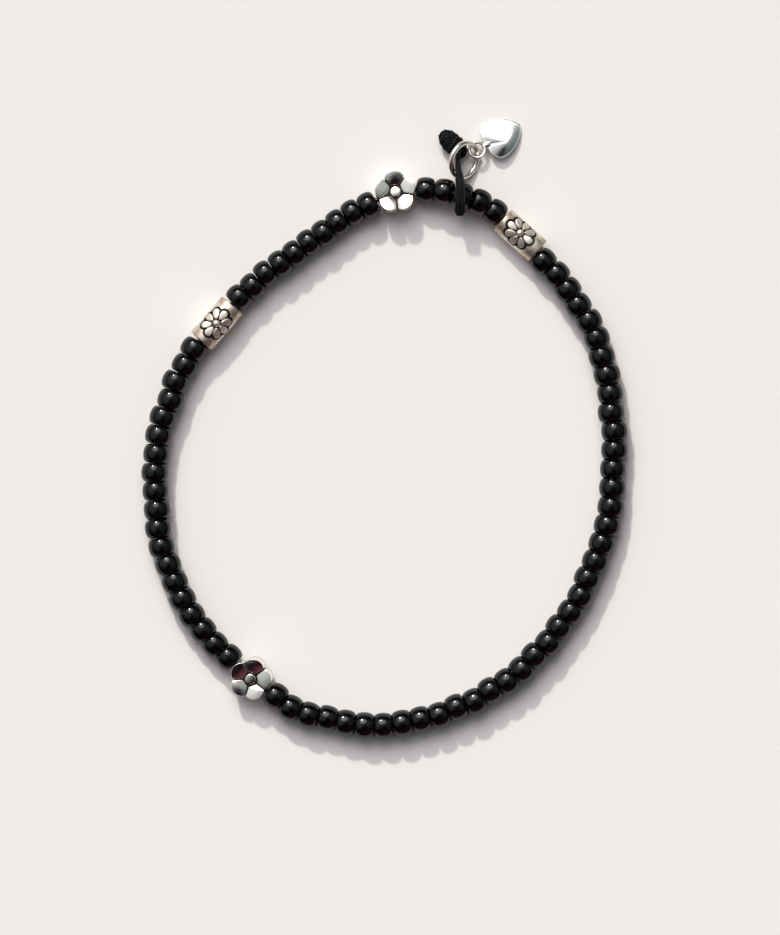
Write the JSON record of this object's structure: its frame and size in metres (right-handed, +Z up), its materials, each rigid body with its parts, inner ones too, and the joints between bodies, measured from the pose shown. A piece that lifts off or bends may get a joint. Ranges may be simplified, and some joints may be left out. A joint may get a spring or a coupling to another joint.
{
  "type": "beaded charm bracelet",
  "caption": "Stretch bracelet of black glass seed beads with silver flower and tube beads and a heart charm on a jump ring and knotted cord loop.",
  "frame": {"origin": "middle of the bracelet's bounding box in plan, on the surface that it lies on", "axes": "+Z is up from that surface; +Y runs from the plain side of the string towards the charm; +X is to the right seen from above"},
  "size_m": [0.0559, 0.0713, 0.0048],
  "materials": {
    "black_glass": "opaque glossy black glass",
    "polished_silver": "mirror-polished silver with dark oxidised grooves",
    "aged_silver": "worn, antiqued silver with brownish stains and black oxidised recesses",
    "black_cord": "fine braided polyester cord"
  },
  "bodies": {
    "root": {"bead_string": "black_glass", "flower_bead_upper": "polished_silver", "flower_bead_lower": "polished_silver", "tube_bead_right": "aged_silver", "tube_bead_left": "aged_silver", "cord_loop": "black_cord", "jump_ring": "polished_silver", "heart_charm": "polished_silver"}
  },
  "joints": []
}
